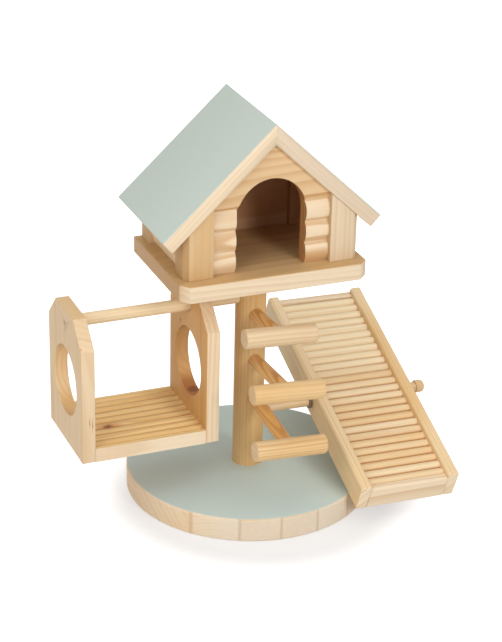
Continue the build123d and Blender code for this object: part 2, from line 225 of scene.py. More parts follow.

# Wood of each piece, as the arguments of pine, with sizes in millimetres and tones from 0 to 255
# Some rows darken the faces that look one way, and the wood inside the house, with painted shade
WOODS = {
    "base wood": dict(
        pith=(0, 0), piece=3, rings=3.0, wander=10, contrast=0.2, end=(226, 214, 197), end_rings=0.15
    ),
    "post wood": dict(
        pith=(24, -60), piece=11, rings=2.8, wander=9, warmth=0.4, contrast=0.32, tint=(245, 233, 205)
    ),
    "perch bar upper": dict(
        pith=(20, -60), piece=21, rings=3.4, wander=9, warmth=0.15, contrast=0.35, tint=(245, 242, 235)
    ),
    "perch bar middle": dict(
        pith=(30, -66), piece=22, rings=2.8, wander=9, warmth=0.45, contrast=0.5, tint=(252, 246, 228)
    ),
    "perch bar lower": dict(
        pith=(60, -85), piece=23, rings=2.4, wander=9, warmth=0.5, contrast=0.85, tint=(255, 254, 248)
    ),
    "perch stem": dict(rings=2.8, wander=6, warmth=0.55, contrast=0.9, tint=(255, 236, 198)),
    "deck wood": dict(
        pith=(-60, 48), piece=41, rings=4.6, wander=26, warmth=0.08, contrast=0.32, end=(188, 142, 88),
        inside=0.15, painted_face_shade=(UP, (224, 202, 166)), tint=(250, 252, 255),
    ),
    "corner post": dict(
        rings=2.6, wander=8, contrast=0.2, inside=0.8, painted_face_shade=(TO_LEFT, (226, 212, 190)),
        tint=(241, 241, 242),
    ),
    "front wall wood": dict(
        pith=(-236, 44), piece=61, rings=4.4, wander=34, warmth=0.09, contrast=0.8, inside=0.7,
        painted_face_shade=(TO_LEFT, (206, 170, 132)),
    ),
    "back wall wood": dict(pith=(-240, -70), piece=64, rings=4.2, wander=28, inside=0.7),
    "side wall": dict(pith=(-20, 232), rings=4.2, wander=26, warmth=0.5, inside=0.8),
    "roof": dict(rings=3.4, wander=12, warmth=0.02, contrast=0.18, inside=1.0),
    "swing dowel": dict(
        pith=(-215, 0), piece=90, rings=2.6, wander=5, warmth=0.05, contrast=0.3, tint=(255, 253, 242)
    ),
    "swing board left": dict(
        pith=(-120, 34), piece=93, rings=3.8, wander=20, warmth=0.1, contrast=0.28, end=(222, 190, 144),
        end_rings=0.6, tint=(247, 243, 236), painted_face_shade=(TO_LEFT, (248, 245, 242)),
        knots=[
            ((-149.4, -42, 100.5), (0.26, 1.2, 2.4), 0.2),
            ((-147.2, -42, 98), (0.3, 1.2, 3.4), 0.3),
            ((-155.8, -40, 163.5), (0.8, 0.9, 0.9), 0.2),
        ],
    ),
    "swing board right": dict(
        pith=(-82, -40), piece=97, rings=3.8, wander=20, warmth=0.14, contrast=0.34, end=(190, 140, 88),
        end_rings=0.6, painted_face_shade=(TO_LEFT, (227, 196, 146)),
        knots=[
            ((-47, 4, 89.5), (7, 8, 4), 2.5),
            ((-53.7, 17.8, 147.4), (1.2, 1.2, 1.6), 1),
            # This last knot is a painted shadow: the dark gap under the swing dowel at the board's inner face
            ((-53.7, 3.8, 162), (0.8, 1.2, 1.2), 0.3),
        ],
    ),
    "swing floor wood": dict(
        pith=(-66, 20), piece=101, rings=3.4, warmth=0.0, contrast=0.45,
        painted_face_shade=(UP, (252, 238, 197)), knots=[((-123.5, -8.5, 77), (6.2, 3.2, 3.5), 2)],
    ),
    "axle wood": dict(pith=(-70, 8), piece=110, rings=2.6, wander=5, warmth=0.5),
    "rail": dict(
        rings=2.2, wander=9, contrast=0.35, end=(255, 250, 240), end_rings=3.0, tint=(255, 251, 236),
        # Painted light: the rails turn paler towards their upper end
        painted_light_end=(10, 80, (260, 265, 275)),
    ),
    "end board": dict(pith=(-30, 44), rings=4.5, wander=24, warmth=0.0),
    "seesaw ridges wood": dict(
        pith=(-60, 24), piece=131, rings=3.4, wander=10, warmth=-0.22, contrast=0.25,
        # Painted light: the ridges turn paler, less warm and lighter in their valleys towards the upper end
        tint=(255, 252, 240), painted_light_end=(-12, 48, (261, 267, 273)),
    ),
    "knob wood": dict(pith=(-60, 4), piece=140, rings=2.4, warmth=0.6),
}

# Place and diameter of each lamp in metres
LAMPS = {
    "key": ((0.42, -1.72, 0.9), 0.6),
    "fill": ((-1.5, -0.95, 0.95), 1.4),
    "top": ((0, 0.2, 1.8), 2.8),
}


def settings(name):
    """Property group of the scene by its short name."""
    return getattr(bpy.context.scene, f"playhouse_{name}")


# Nodes of the materials


def feed(inputs, values):
    """Feed inputs with values or with other nodes' outputs."""
    for key, value in values.items():
        if isinstance(value, bpy.types.NodeSocket):
            value.id_data.links.new(value, inputs[key])
        elif inputs[key].type == "RGBA":
            inputs[key].default_value = (*value[:3], 1)
        else:
            inputs[key].default_value = value


def add(tree, kind, feeds=None, **options):
    """Add a node, set its options, feed its inputs and return its outputs."""
    new = tree.nodes.new(kind)
    for option, value in options.items():
        setattr(new, option, value)
    feed(new.inputs, feeds or {})
    return new.outputs


def wire(kind, feeds, **options):
    """Outputs of a new node in the tree that its feeds come from."""
    tree = next(value.id_data for value in feeds.values() if isinstance(value, bpy.types.NodeSocket))
    return add(tree, kind, feeds, **options)


def calc(operation, *values):
    """Result of a Math node."""
    return wire("ShaderNodeMath", dict(enumerate(values)), operation=operation)[0]


plus = partial(calc, "ADD")
minus = partial(calc, "SUBTRACT")
times = partial(calc, "MULTIPLY")
scaled = partial(calc, "MULTIPLY_ADD")


def vector(operation, *values):
    """Vector result of a Vector Math node."""
    return wire("ShaderNodeVectorMath", dict(enumerate(values)), operation=operation)["Vector"]


def measure(operation, *values):
    """Number that a Vector Math node gives."""
    return wire("ShaderNodeVectorMath", dict(enumerate(values)), operation=operation)["Value"]


def fade(value, start, end):
    """Soft step from 0 at start to 1 at end."""
    feeds = {0: value, 1: start, 2: end, 3: 0.0, 4: 1.0}
    return wire("ShaderNodeMapRange", feeds, interpolation_type="SMOOTHSTEP")[0]


def fall(value, start, end):
    """Soft step from 1 at start to 0 at end."""
    return minus(1.0, fade(value, start, end))


def mix(factor, first, second, blend_type="MIX"):
    """Mix of two colours."""
    feeds = {0: factor, 6: first, 7: second}
    return wire("ShaderNodeMix", feeds, data_type="RGBA", blend_type=blend_type)[2]


def blend(factor, first, second):
    """Mix of two numbers."""
    return wire("ShaderNodeMix", {0: factor, 2: first, 3: second})[0]


def noise(place, stretch, detail=2.0, shift=None):
    """Noise between 0 and 1 on a stretched place, as its Fac and Color outputs."""
    spot = vector("MULTIPLY", place, stretch)
    if shift is not None:
        spot = vector("ADD", spot, shift)
    found = wire("ShaderNodeTexNoise", {"Vector": spot, "Scale": 1.0, "Detail": detail})
    return found["Fac"], found["Color"]


def chance(number):
    """White noise of a number."""
    return wire("ShaderNodeTexWhiteNoise", {"W": number}, noise_dimensions="1D")


def centred(noise_colour):
    """Noise colour as a vector between -0.5 and 0.5."""
    return vector("SUBTRACT", noise_colour, (0.5, 0.5, 0.5))


def relief(height, distance, strength):
    """Normal of a bumpy surface."""
    return wire("ShaderNodeBump", {"Height": height, "Distance": distance, "Strength": strength})["Normal"]


def new_group(name, takes):
    """Given values of a new node group, whose inputs are made from their defaults."""
    kinds = {3: "NodeSocketVector", 4: "NodeSocketColor"}
    tree = bpy.data.node_groups.new(name, "ShaderNodeTree")
    for socket, default in takes.items():
        kind = kinds[len(default)] if isinstance(default, tuple) else "NodeSocketFloat"
        tree.interface.new_socket(name=socket, in_out="INPUT", socket_type=kind).default_value = default
    return add(tree, "NodeGroupInput")


def give(results):
    """Finish a node group with its named outputs."""
    tree = next(iter(results.values())).id_data
    for name, socket in results.items():
        kind = "NodeSocketColor" if socket.type == "RGBA" else "NodeSocketFloat"
        tree.interface.new_socket(name=name, in_out="OUTPUT", socket_type=kind)
    add(tree, "NodeGroupOutput", results)
    return tree


def pine_group(name):
    """Solid pine: year rings round a wandering pith, fibres along it, and slow changes of tone."""
    pine = settings("pine")
    given = new_group(name, {
        "Place": (0, 0, 0), "Pith": (0, 0, 0), "Piece": 0.0, "Ring Width": 3.2 * MM,
        "Contrast": pine.contrast, "Wander": 14 * MM, "Swirl": 0.0, "Warmth": 0.3, "End Grain": 0.0,
        "End Rings": 1.0, "End Wood": (*pine.end, 1), "Early Wood": (*pine.early, 1),
        "Late Wood": (*pine.late, 1), "Warm Wood": (*pine.warm, 1),
    })
    place, piece, warmth, end = [given[key] for key in ("Place", "Piece", "Warmth", "End Grain")]
    shift = vector("MULTIPLY", (7.31, 3.17, 5.73), piece)

    drift = vector("MULTIPLY", centred(noise(place, (9, 9, 3.2), 1.5, shift)[1]), given["Wander"])
    across = vector("ADD", vector("SUBTRACT", place, given["Pith"]), drift)
    across = vector("MULTIPLY", across, (1, 1, 0))
    ripple = minus(noise(place, (70, 70, 11), 2.0, shift)[0], 0.5)
    radius = plus(measure("LENGTH", across), times(ripple, 1.6 * MM))
    rings = calc("DIVIDE", plus(radius, given["Swirl"]), given["Ring Width"])
    year = calc("FRACT", rings)
    strength = chance(plus(calc("FLOOR", rings), times(piece, 13.7)))["Value"]
    late = times(fade(year, 0.2, 0.86), fall(year, 0.88, 1.0))
    for factor in (scaled(strength, 0.8, 0.35), given["Contrast"], blend(end, 1.0, given["End Rings"])):
        late = times(late, factor)

    fibre = noise(place, (1500, 1500, 26), 3.0, shift)[0]
    band = noise(place, (320, 320, 7), 2.0, shift)[0]
    tone = noise(place, (22, 22, 6), 2.0, shift)[0]
    fleck = fade(noise(place, (900, 900, 75), 1.0, shift)[0], 0.72, 0.8)

    warm = times(fade(tone, 0.3, 0.75), times(warmth, 1.6))
    warm = calc("MINIMUM", scaled(warmth, 0.5, warm), 1.0)
    wood = mix(warm, given["Early Wood"], given["Warm Wood"])
    wood = mix(times(end, 0.8), wood, given["End Wood"])
    wood = mix(late, wood, given["Late Wood"])
    streaks = plus(times(fibre, 0.13), times(band, 0.2))
    wood = mix(streaks, wood, (0.62, 0.50, 0.38), "MULTIPLY")
    wood = mix(times(fleck, 0.22), wood, (0.30, 0.16, 0.07))
    height = minus(times(late, 0.5), times(fibre, 0.6))
    return give({"Color": wood, "Height": height, "Rings": late})


def knot_group(name):
    """A knot: its dark heart, the reddish wood round it, and how far it pushes the year rings aside."""
    size, rag = 4 * MM, 1.6 * MM
    takes = {"Place": (0, 0, 0), "Centre": (0, 0, 0), "Half Size": (size, size, size), "Push": 2 * MM}
    given = new_group(name, takes)
    ragged = centred(noise(given["Place"], (420, 420, 420))[1])
    away = vector("SUBTRACT", given["Place"], given["Centre"])
    away = vector("MULTIPLY_ADD", ragged, (rag, rag, rag), away)
    reach = measure("LENGTH", vector("DIVIDE", away, given["Half Size"]))
    swirl = times(fall(reach, 0.6, 4.0), given["Push"])
    return give({"Heart": fall(reach, 0.45, 1.05), "Rim": fall(reach, 0.8, 2.6), "Swirl": swirl})


def room_group(name):
    """How far a place is inside a box, from 0 at its bounds to 1 a little way in."""
    given = new_group(name, {"Place": (0, 0, 0), "Middle": (0, 0, 0), "Half Size": (1, 1, 1)})
    away = vector("ABSOLUTE", vector("SUBTRACT", given["Place"], given["Middle"]))
    sides = wire("ShaderNodeSeparateXYZ", {0: vector("SUBTRACT", away, given["Half Size"])})
    far = calc("MAXIMUM", calc("MAXIMUM", sides["X"], sides["Y"]), sides["Z"])
    return give({"Inside": fall(far, -0.6 * MM, 0.0)})


def paint_group(name):
    """Matt paint with faint roller marks and slow clouds of tone."""
    given = new_group(name, {"Place": (0, 0, 0), "Paint": (0.5, 0.6, 0.5, 1)})
    cloud = noise(given["Place"], (16, 16, 16), 3.0)[0]
    speck = noise(given["Place"], (950, 950, 950), 3.0)[0]
    paint = mix(times(cloud, 0.14), given["Paint"], (0.78, 0.82, 0.74), "MULTIPLY")
    paint = mix(times(fade(speck, 0.42, 0.72), 0.07), paint, (0.86, 0.9, 0.84))
    return give({"Color": paint, "Height": speck, "Roughness": scaled(speck, 0.2, 0.55)})


GROUPS = {"pine wood": pine_group, "knot": knot_group, "matt paint": paint_group, "room": room_group}


def use(name, feeds):
    """Outputs of a node group, built on its first use."""
    group = bpy.data.node_groups.get(name) or GROUPS[name](name)
    return wire("ShaderNodeGroup", feeds, node_tree=group)


def in_box(place, low, high):
    """Whether a place is in a box, fading at its bounds."""
    return use("room", {"Place": place, "Middle": (low + high) / 2, "Half Size": (high - low) / 2})["Inside"]


def house_room():
    """Box of the painted shade inside the house: its inner corners, reaching a little into its walls and
    deck.
    """
    skin = 0.7 * MM
    low = Vector((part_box("left_wall")[1].x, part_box("front_wall")[1].y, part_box("deck")[1].z))
    high = Vector((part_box("right_wall")[0].x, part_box("back_wall")[0].y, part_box("roof_left")[1].z))
    return low - Vector((skin, skin, skin)), high + Vector((skin, skin, 0))


def start_material(name):
    """Empty material, the inputs of its Principled shader and its coordinates."""
    material = bpy.data.materials.new(name)
    material.use_nodes = True
    tree = material.node_tree
    tree.nodes.clear()
    shader = tree.nodes.new("ShaderNodeBsdfPrincipled")
    add(tree, "ShaderNodeOutputMaterial", {"Surface": shader.outputs["BSDF"]})
    return material, shader.inputs, add(tree, "ShaderNodeTexCoord")


def pine(
    name, along, pith, piece, rings, wander=14, warmth=0.3, contrast=None, tint=(255, 255, 255),
    end=None, end_rings=1.0, knots=(), strips=None, spread=None, painted_light_end=None, inside=0.0, parts=(),
    painted_face_shade=None, paint=None,
):
    """Pine whose grain runs along a direction, with its pith at an offset across it in millimetres.

    piece: number of its own grain. rings: their width. end, end_rings: tone of the end grain and how
    clear its rings are. knots: centre, half size and push of each knot, and of any painted shadow spot.
    strips: width and first seam, in metres. spread: difference between ridges, with painted shade
    in their valleys. painted_light_end: stretch of Y over which painted light makes it paler, and its
    tone there. inside: how much painted shade darkens it inside the house. parts: boxes and their
    tones. painted_face_shade: a direction and the painted shade of faces that look there. paint:
    colour, direction, height.
    """
    finish = settings("pine")
    material, shader, where = start_material(name)
    place, normal = where["Object"], where["Normal"]
    along = Vector(along).normalized()
    turn = along.rotation_difference(UP).to_euler()
    pith = Vector((*pith, 0)) * MM
    facing = calc("ABSOLUTE", measure("DOT_PRODUCT", normal, along))
    grain = {
        "Place": wire("ShaderNodeMapping", {"Vector": place, "Rotation": turn})["Vector"],
        "Pith": pith, "Piece": piece, "Ring Width": rings * MM, "Wander": wander * MM, "Warmth": warmth,
        "Contrast": finish.contrast if contrast is None else contrast,
        "End Wood": colour(*end) if end else finish.end, "End Rings": end_rings,
        "End Grain": fade(facing, 0.6, 0.95),
    }
    tones = [(1.0, colour(*tint))]

    if strips:
        width, first = strips
        index = calc("DIVIDE", plus(wire("ShaderNodeSeparateXYZ", {0: place})["X"], first), width)
        seam = calc("ABSOLUTE", minus(calc("FRACT", index), 0.5))
        drawn = chance(plus(calc("FLOOR", index), piece))
        grain["Pith"] = vector("MULTIPLY", centred(drawn["Color"]), (0.16, 0.12, 0))
        grain["Piece"] = times(drawn["Value"], 9.0)
        grain["Warmth"] = scaled(drawn["Value"], 0.5, 0.02)
    # Painted light: paler wood towards the upper end of the seesaw
    if painted_light_end:
        start, stop, tone = painted_light_end
        pale = fade(measure("DOT_PRODUCT", place, ALONG_Y), start * MM, stop * MM)
        tones.append((pale, colour(*tone)))
    if spread is not None:
        tone = add(material.node_tree, "ShaderNodeAttribute", attribute_name="ridge_tone")["Fac"]
        groove = add(material.node_tree, "ShaderNodeAttribute", attribute_name="groove")["Fac"]
        grain["Piece"] = scaled(tone, 9.0, piece)
        grain["Pith"] = vector("MULTIPLY_ADD", (0.05, 0.03, 0), tone, pith)
        grain["Warmth"] = scaled(tone, spread, warmth)
        # Painted shade: darker wood towards the bottom of each valley between the ridges
        valley = fade(groove, 0.7, 1.0)
        if painted_light_end:
            grain["Warmth"] = scaled(pale, -0.3, grain["Warmth"])
            valley = times(valley, scaled(pale, -0.7, 1.0))
        tones.append((valley, settings("ridges").groove))
    # Painted shade: darker wood inside the house's walls, deck and roof
    if inside:
        tones.append((times(in_box(place, *house_room()), inside), finish.inside))
    for low, high, tone in parts:
        tones.append((in_box(place, low, high), colour(*tone)))
    # Painted shade: faces that look one way are darkened by a tone
    if painted_face_shade:
        out, tone = painted_face_shade
        tones.append((fade(measure("DOT_PRODUCT", normal, out), 0.2, 0.6), colour(*tone)))
    found = []
    for centre, half_size, push in knots:
        feeds = {"Centre": Vector(centre) * MM, "Half Size": Vector(half_size) * MM, "Push": push * MM}
        found.append(use("knot", {"Place": place, **feeds}))
        grain["Swirl"] = plus(found[-1]["Swirl"], grain.get("Swirl", 0.0))

    board = use("pine wood", grain)
    wood = board["Color"]
    for amount, tone in tones:
        wood = mix(amount, wood, tone, "MULTIPLY")
    for knot in found:
        wood = mix(times(knot["Rim"], 0.45), wood, finish.knot_rim)
        wood = mix(times(knot["Heart"], 0.8), wood, finish.knot)
    if strips:
        wood = mix(times(fade(seam, 0.44, 0.497), 0.45), wood, GLUE)

    height, depth = board["Height"], GRAIN_DEPTH
    rough = scaled(board["Rings"], -0.12, finish.roughness)
    if paint:
        coat_colour, out, level = paint
        film = settings("paint").film
        coat = use("matt paint", {"Place": place, "Paint": coat_colour})
        wobble = minus(noise(place, (130, 130, 130))[0], 0.5)
        over = scaled(wobble, PAINT_WOBBLE, measure("DOT_PRODUCT", place, out))
        mask = fade(over, level - film - PAINT_FADE, level - film)
        wood = mix(mask, wood, coat["Color"])
        rough = blend(mask, rough, coat["Roughness"])
        height = blend(mask, height, scaled(height, 0.25, coat["Height"]))
        depth = ROLLER_DEPTH
    feed(shader, {
        "Base Color": wood, "Roughness": rough, "Normal": relief(height, depth, 0.6),
        "Specular IOR Level": 0.35,
    })
    return material


def wood_of(name, along, kind=None, **more):
    """Material from its row or its kind's row in WOODS, with what the piece adds."""
    return pine(name, along, **WOODS[kind or name], **more)


def plain(name, tint, rough, metallic):
    """Rubber or metal with fine specks and uneven gloss."""
    material, shader, where = start_material(name)
    speck = noise(where["Object"], (1600, 1600, 1600), 3.0)[0]
    feed(shader, {
        "Base Color": mix(times(speck, 0.35), tint, (0.02, 0.018, 0.016)), "Metallic": metallic,
        "Roughness": scaled(speck, 0.2, rough - 0.1), "Normal": relief(speck, 0.04 * MM, 0.5),
    })
    return material


# Shapes


def dress(obj, body, material):
    """Give a piece its only material, and make it ride on its body."""
    obj.data.materials.clear()
    obj.data.materials.append(material)
    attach(obj, body)


def put(obj, node, body, material):
    """Dress a piece and let it stand for a node."""
    dress(obj, body, material)
    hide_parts(node)


def finish_node(node, material):
    """Give a node of the frame its material."""
    mesh = NODES[node].data
    mesh.materials.clear()
    mesh.materials.append(material)


def corners(node):
    """Corner points of a node's mesh."""
    return [v.co for v in NODES[node].data.vertices]


def middle(node):
    """Middle of a node's box."""
    low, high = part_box(node)
    return (low + high) / 2


def new_piece(name, data):
    """New object at the origin, of a mesh, lamp or camera."""
    obj = bpy.data.objects.new(name, data)
    bpy.context.scene.collection.objects.link(obj)
    return obj


def finished_mesh(work, name):
    """Mesh from a bmesh, which is freed."""
    mesh = bpy.data.meshes.new(name)
    work.to_mesh(mesh)
    work.free()
    return mesh


def shown_mesh(obj):
    """Mesh of an object with its modifiers run; the object is removed."""
    bpy.context.view_layer.update()
    graph = bpy.context.evaluated_depsgraph_get()
    mesh = bpy.data.meshes.new_from_object(obj.evaluated_get(graph), depsgraph=graph)
    bpy.data.objects.remove(obj)
    return mesh


def smooth_mesh(mesh, degrees=35, all_faces=True):
    """Shade a mesh, or its smooth faces only, smooth but for its edges over an angle."""
    if all_faces:
        mesh.shade_smooth()
    mesh.set_sharp_from_angle(angle=math.radians(degrees))


def softened(node, name, width, keep=None):
    """Copy of a node's mesh with rounded edges; keep(midpoint) names the edges that stay sharp."""
    work = bmesh.new()
    work.from_mesh(NODES[node].data)
    bmesh.ops.remove_doubles(work, verts=work.verts, dist=WELD)
    bmesh.ops.dissolve_limit(work, angle_limit=FLAT_ANGLE, verts=work.verts, edges=work.edges)
    rounded = []
    for edge in work.edges:
        halfway = (edge.verts[0].co + edge.verts[1].co) / 2
        if edge.calc_face_angle(0) >= SHARP_ANGLE and not (keep and keep(halfway)):
            rounded.append(edge)
    made = bmesh.ops.bevel(
        work, geom=rounded, offset=width, offset_type="OFFSET", segments=3, profile=0.5, affect="EDGES",
        clamp_overlap=True,
    )
    made = set(made["faces"])
    for face in work.faces:
        face.smooth = face in made or face.calc_area() < SMALL_FACE
    bmesh.ops.triangulate(work, faces=[f for f in work.faces if len(f.verts) > 4])
    mesh = finished_mesh(work, name)
    smooth_mesh(mesh, all_faces=False)
    return new_piece(name, mesh)


def turned(name, profile, centre, axis, count=96):
    """Closed lathe piece from (distance along the axis, radius) points that start and end on the axis."""
    work = bmesh.new()
    steps = [2 * math.pi * i / count for i in range(count)]
    start = work.verts.new((0, 0, profile[0][0]))
    rings = []
    for along, radius in profile[1:-1]:
        rings.append([work.verts.new((radius * math.cos(a), radius * math.sin(a), along)) for a in steps])
    end = work.verts.new((0, 0, profile[-1][0]))
    for i in range(count):
        j = (i + 1) % count
        work.faces.new((start, rings[0][j], rings[0][i]))
        for low, high in zip(rings, rings[1:]):
            work.faces.new((low[i], low[j], high[j], high[i]))
        work.faces.new((end, rings[-1][i], rings[-1][j]))
    bmesh.ops.recalc_face_normals(work, faces=work.faces)
    mesh = finished_mesh(work, name)
    turn = UP.rotation_difference(Vector(axis)).to_matrix().to_4x4()
    mesh.transform(Matrix.Translation(centre) @ turn)
    smooth_mesh(mesh)
    return new_piece(name, mesh)


def arc(centre, radius, start, end, steps=6):
    """Points of an arc between two angles in degrees."""
    turns = [math.radians(start + (end - start) * i / steps) for i in range(steps + 1)]
    return [(centre[0] + radius * math.cos(t), centre[1] + radius * math.sin(t)) for t in turns]


def rod(start, end, radius, soft, steps=6):
    """Profile of a rod whose two ends are rounded."""
    bend = arc((0, 0), soft, 0, 90, steps)
    rise = [(start + soft - x, radius - soft + y) for x, y in bend]
    return [(start, 0), *rise, *[(end - soft + y, radius - soft + x) for x, y in bend], (end, 0)]


def add_bar(work, outline, low, high):
    """Add a closed bar along X with an outline of (y, z) points, and return its ends."""
    ends = [[work.verts.new((x, y, z)) for y, z in outline] for x in (low, high)]
    faces = [work.faces.new(row) for row in ends]
    for i in range(len(outline)):
        j = (i + 1) % len(outline)
        faces.append(work.faces.new((ends[0][i], ends[1][i], ends[1][j], ends[0][j])))
    bmesh.ops.recalc_face_normals(work, faces=faces)
    return ends


def ridge_mesh(name, pitch, rise, thick, span):
    """One ridge of a reeded board, lying along X: an arc on top and a flat underside."""
    radius = (pitch**2 / 4 + rise**2) / (2 * rise)
    reach = math.degrees(math.asin(pitch / 2 / radius))
    top = arc((0, rise - radius), radius, 90 - reach, 90 + reach, 14)
    work = bmesh.new()
    groove = work.verts.layers.float.new("groove")
    for row in add_bar(work, [*top, (-pitch / 2, -thick), (pitch / 2, -thick)], -span / 2, span / 2):
        for vert in row:
            vert[groove] = abs(vert.co.y) / (pitch / 2)
    return finished_mesh(work, name)


def add_margins(mesh, low, high, reach, rise):
    """Flat strips in front of and behind the ridges, with the half groove beside them."""
    work = bmesh.new()
    work.from_mesh(mesh)
    groove = work.verts.layers.float["groove"]
    for side in (-1, 1):
        edge = high.y * side
        outline = [
            (reach * side, low.z), (edge, low.z), (edge, high.z), ((reach + rise) * side, high.z),
            (reach * side, high.z - rise),
        ]
        for row in add_bar(work, outline, low.x, high.x):
            row[0][groove] = row[-1][groove] = 1.0
    work.to_mesh(mesh)
    work.free()


def bar_direction(node):
    """Direction of a bar, from the middles of its two end faces."""
    ends = []
    depth = 1.2 * MM
    for side, limit in zip((-1, 1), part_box(node)):
        face = [p for p in corners(node) if side * (limit.x - p.x) < depth]
        low = Vector([min(p[i] for p in face) for i in range(3)])
        high = Vector([max(p[i] for p in face) for i in range(3)])
        ends.append((low + high) / 2)
    return (ends[1] - ends[0]).normalized()


def roof_slope(name, way):
    """Pitch of a roof board, from the ridge and the highest point of its eave."""
    ridge = max(corners(name), key=lambda p: p.z)
    eave = max(corners(name), key=lambda p: way * p.x)
    return math.atan2(ridge.z - eave.z, abs(eave.x - ridge.x))


def bore_box(node):
    """Corners of a box round a board's round hole, short of its faces."""
    low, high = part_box(node)
    centre = low.z + BORE_HEIGHT
    skin = 0.15 * MM
    low = Vector((low.x + skin, -BORE_REACH, centre - BORE_REACH))
    return low, Vector((high.x - skin, BORE_REACH, centre + BORE_REACH))


def countersunk(board):
    """Sink the place of the screw head into the board's outer face."""
    centre = middle("swing_dowel")
    centre.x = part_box("swing_board_left")[0].x
    radius = settings("fittings").screw / 2 + SCREW_GAP
    profile = [(-MM, 0), (-MM, radius), (SCREW_HOLE, radius), (SCREW_HOLE, 0)]
    cutter = turned("screw_hole", profile, centre, ALONG_X, 24)
    cut = board.modifiers.new("screw hole", "BOOLEAN")
    cut.operation = "DIFFERENCE"
    cut.solver = "EXACT"
    cut.object = cutter
    mesh = shown_mesh(board)
    bpy.data.objects.remove(cutter)
    smooth_mesh(mesh, all_faces=False)
    return new_piece("swing_side_left", mesh)


def on_axle(node):
    """Where a node starts along the axle, how long it is there, and its radius."""
    away = [p - AXLE for p in corners(node)]
    steps = [p.dot(AXLE_WAY) for p in away]
    radius = max((p - AXLE_WAY * step).length for p, step in zip(away, steps))
    return min(steps), max(steps) - min(steps), radius


def put_on_axle(node, start, profile, material):
    """Turn a piece that starts at a place on the axle, and let it stand for its node."""
    piece = turned(f"{node}_turned", profile, AXLE + AXLE_WAY * start, AXLE_WAY, 48)
    put(piece, node, "stand", material)


# Geometry nodes


def geometry_group(name, takes):
    """Given values of a new geometry node group."""
    tree = bpy.data.node_groups.new(name, "GeometryNodeTree")
    takes = {"Geometry": "Geometry", **takes, "Seed": "Int", "Material": "Material"}
    for socket, kind in takes.items():
        tree.interface.new_socket(name=socket, in_out="INPUT", socket_type=f"NodeSocket{kind}")
    tree.interface.new_socket(name="Geometry", in_out="OUTPUT", socket_type="NodeSocketGeometry")
    return add(tree, "NodeGroupInput")


def copy_to(points, piece, given):
    """Real copies of a piece at points, each with its own tone, and their material."""
    copies = wire("GeometryNodeInstanceOnPoints", {"Points": points, "Instance": piece})[0]
    tone = wire("FunctionNodeRandomValue", {"Seed": given["Seed"]}, data_type="FLOAT")[1]
    feeds = {"Geometry": copies, "Name": "ridge_tone", "Value": tone}
    toned = wire("GeometryNodeStoreNamedAttribute", feeds, data_type="FLOAT", domain="INSTANCE")[0]
    real = wire("GeometryNodeRealizeInstances", {"Geometry": toned})[0]
    done = wire("GeometryNodeSetMaterial", {"Geometry": real, "Material": given["Material"]})[0]
    wire("NodeGroupOutput", {"Geometry": done})
    return done.id_data


def row_tree():
    """Copies of a piece in a straight row across Y, each with its own tone."""
    given = geometry_group("row of ridges", {"Count": "Int", "Pitch": "Float"})
    first = times(times(minus(given["Count"], 1.0), given["Pitch"]), -0.5)
    start, step = [wire("ShaderNodeCombineXYZ", {"Y": way})[0] for way in (first, given["Pitch"])]
    feeds = {"Count": given["Count"], "Start Location": start, "Offset": step}
    return copy_to(wire("GeometryNodeMeshLine", feeds, mode="OFFSET")[0], given["Geometry"], given)


def places_tree():
    """Copies of a piece at the points of a mesh, each with its own tone."""
    given = geometry_group("copies at places", {"Piece": "Object"})
    piece = wire("GeometryNodeObjectInfo", {"Object": given["Piece"]})["Geometry"]
    return copy_to(given["Geometry"], piece, given)


def made_real(obj, tree, values, name):
    """Plain mesh that a geometry node tree makes of an object."""
    modifier = obj.modifiers.new("copies", "NODES")
    modifier.node_group = tree
    keys = {i.name: i.identifier for i in tree.interface.items_tree if i.in_out == "INPUT"}
    for socket, value in values.items():
        modifier[keys[socket]] = value
    mesh = shown_mesh(obj)
    mesh.name = name
    if not mesh.polygons:
        raise RuntimeError(f"{name} came out empty")
    return mesh


def ridge_row(kind, thick, span, seed, material):
    """Mesh of the ridges of the swing's or the seesaw's floor, with their valleys at height 0."""
    ridges = settings("ridges")
    pitch, rise, count = [getattr(ridges, f"{kind}_{size}") for size in ("pitch", "rise", "ridges")]
    source = new_piece(f"{kind}_ridge", ridge_mesh(f"{kind} ridge", pitch, rise, thick - rise, span))
    values = {"Count": count, "Pitch": pitch, "Seed": seed, "Material": material}
    return made_real(source, row_tree(), values, f"{kind}_floor_reeded")


def put_floor(kind, mesh, wood):
    """Let a reeded mesh stand for the floor of the swing or the seesaw."""
    smooth_mesh(mesh, 40)
    put(new_piece(f"{kind}_floor_reeded", mesh), f"{kind}_floor", kind, wood)


# Stage


def directly_seen(tree):
    """Whether the camera sees a place directly, in a mirror or through glass."""
    ray = add(tree, "ShaderNodeLightPath")
    seen = calc("MAXIMUM", ray["Is Camera Ray"], ray["Is Glossy Ray"])
    return calc("MAXIMUM", seen, ray["Is Transmission Ray"])


def add_floor(sizes):
    """White floor that shows the object's shadow and lights it with its own pale colour."""
    work = bmesh.new()
    bmesh.ops.create_grid(work, x_segments=24, y_segments=24, size=FLOOR_HALF)
    floor = new_piece("floor", finished_mesh(work, "floor"))
    material, shader, where = start_material("floor")
    seen = directly_seen(material.node_tree)
    tint = mix(times(noise(where["Object"], (3, 3, 3))[0], 0.03), sizes.floor, (0.5, 0.5, 0.5))
    away = measure("LENGTH", vector("SUBTRACT", where["Object"], sizes.contact))
    white = scaled(fade(away, *CONTACT), OPEN_WHITE, CONTACT_WHITE)
    feed(shader, {
        "Base Color": mix(seen, tint, sizes.floor_shadow), "Roughness": 0.9, "Specular IOR Level": 0.0,
        "Emission Strength": times(seen, white),
    })
    floor.data.materials.append(material)


